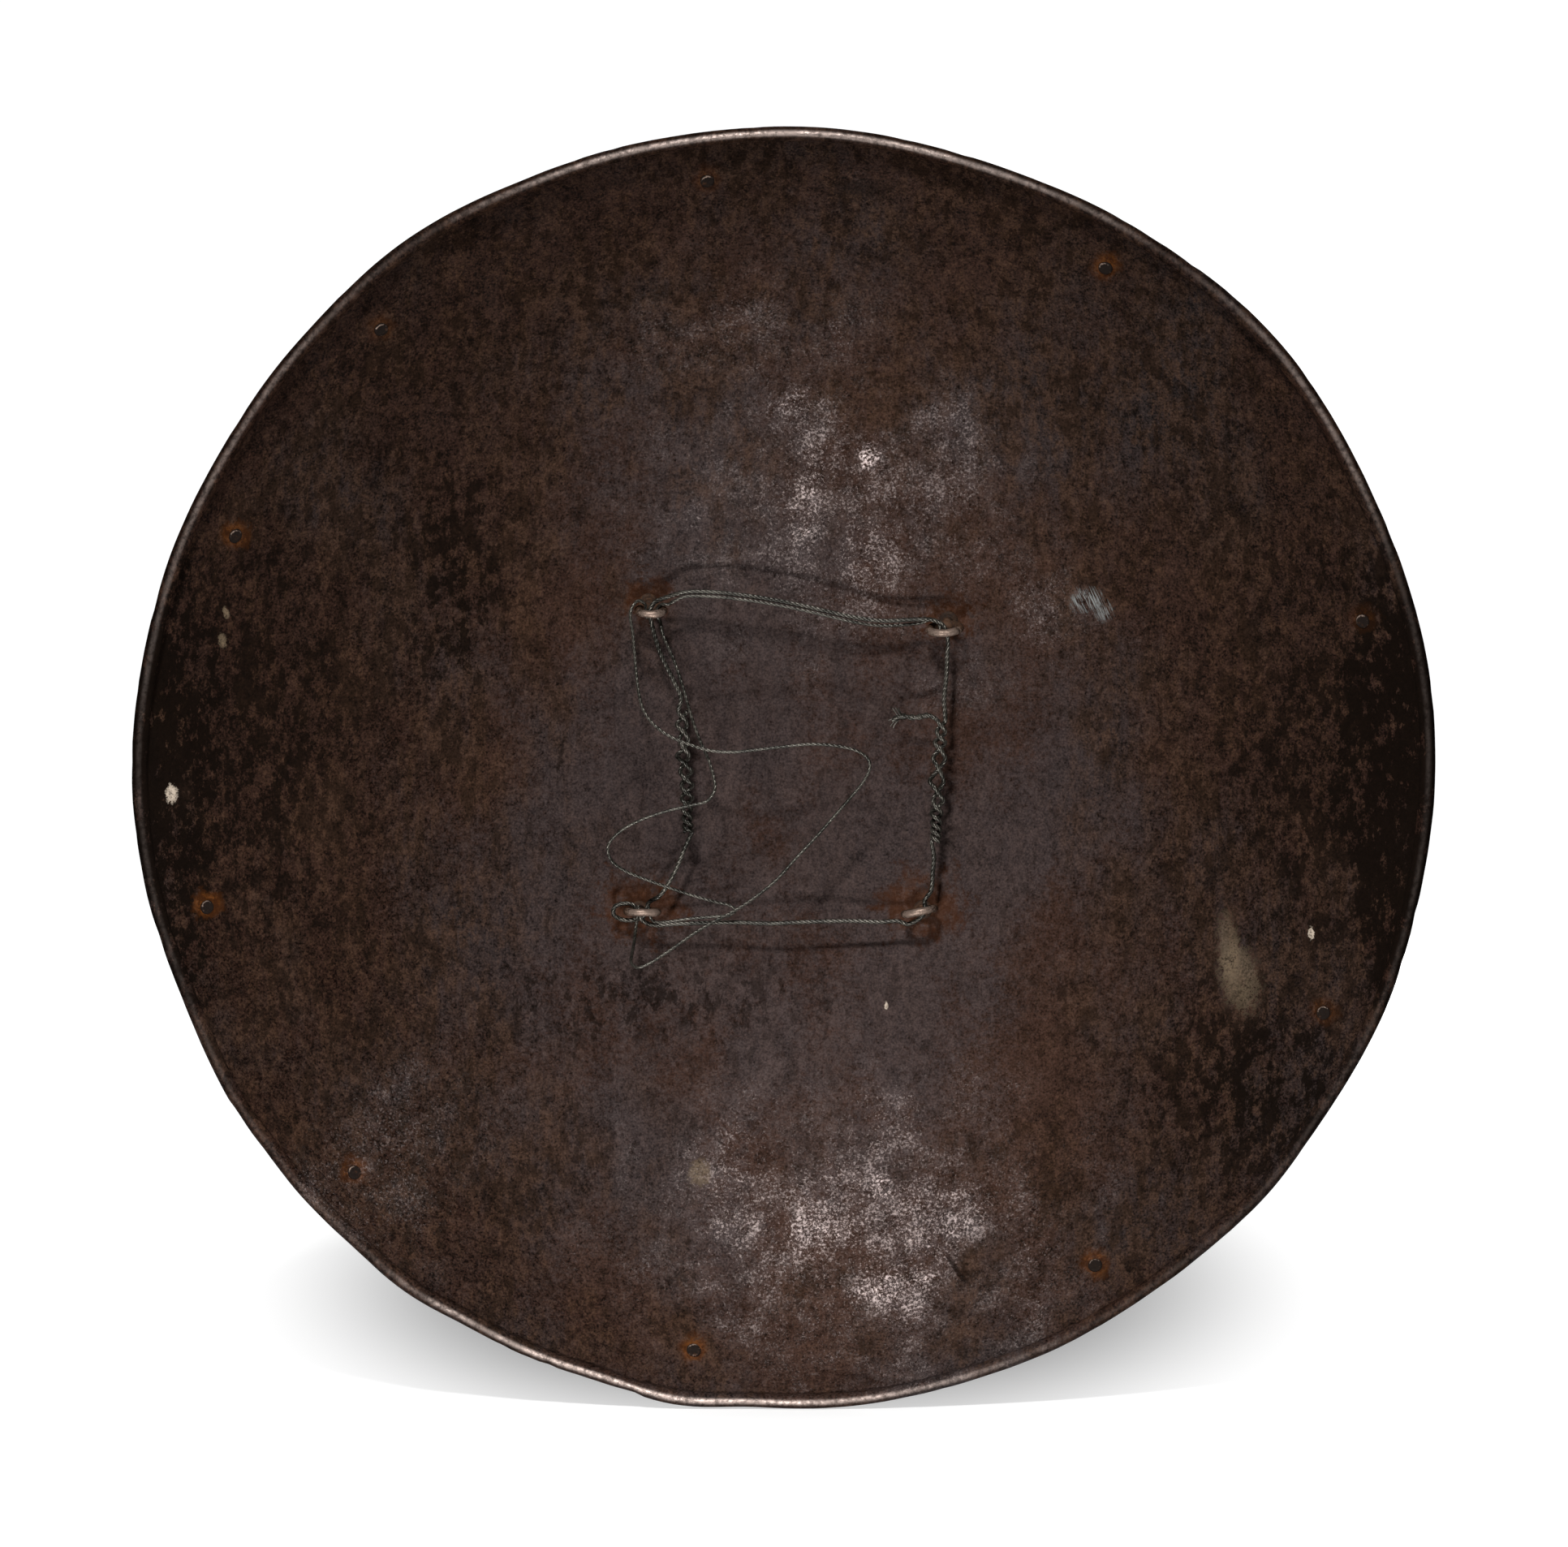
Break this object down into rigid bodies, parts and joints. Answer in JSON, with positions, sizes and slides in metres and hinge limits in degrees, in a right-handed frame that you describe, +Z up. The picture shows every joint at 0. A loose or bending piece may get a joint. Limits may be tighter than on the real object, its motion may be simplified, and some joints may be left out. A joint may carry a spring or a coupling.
{
  "type": "dhal shield",
  "caption": "Round dark steel dhal, a shallow bowl with a rolled rim, domed bosses, fixed eyes inside and old picture wires strung and looped between the eyes.",
  "frame": {"origin": "the middle of the upper wire between the two upper eyes, where a picture hook holds the shield", "axes": "+X to the right for someone who looks into the hollow, +Y through the sheet towards the domed front, +Z up"},
  "size_m": [0.481, 0.0915, 0.4749],
  "materials": {
    "bowl_steel": "dark brown patina, rubbed smooth, pitted",
    "eye_steel": "rusted, worn bright where it was rubbed",
    "wire_steel": "dull grey, greenish, stranded"
  },
  "bodies": {
    "root": {"dish": "bowl_steel", "rim_rivet_1": "bowl_steel", "rim_rivet_2": "bowl_steel", "rim_rivet_3": "bowl_steel", "rim_rivet_4": "bowl_steel", "rim_rivet_5": "bowl_steel", "rim_rivet_6": "bowl_steel", "rim_rivet_7": "bowl_steel", "rim_rivet_8": "bowl_steel", "rim_rivet_9": "bowl_steel", "rim_rivet_10": "bowl_steel", "boss_top_left": "bowl_steel", "boss_top_right": "bowl_steel", "boss_bottom_left": "bowl_steel", "boss_bottom_right": "bowl_steel", "eye_bolt_top_left": "eye_steel", "eye_bolt_top_right": "eye_steel", "eye_bolt_bottom_left": "eye_steel", "eye_bolt_bottom_right": "eye_steel", "upper_wire": "wire_steel", "lower_wire": "wire_steel", "short_loose_wire": "wire_steel", "long_loose_wire": "wire_steel"}
  },
  "joints": []
}
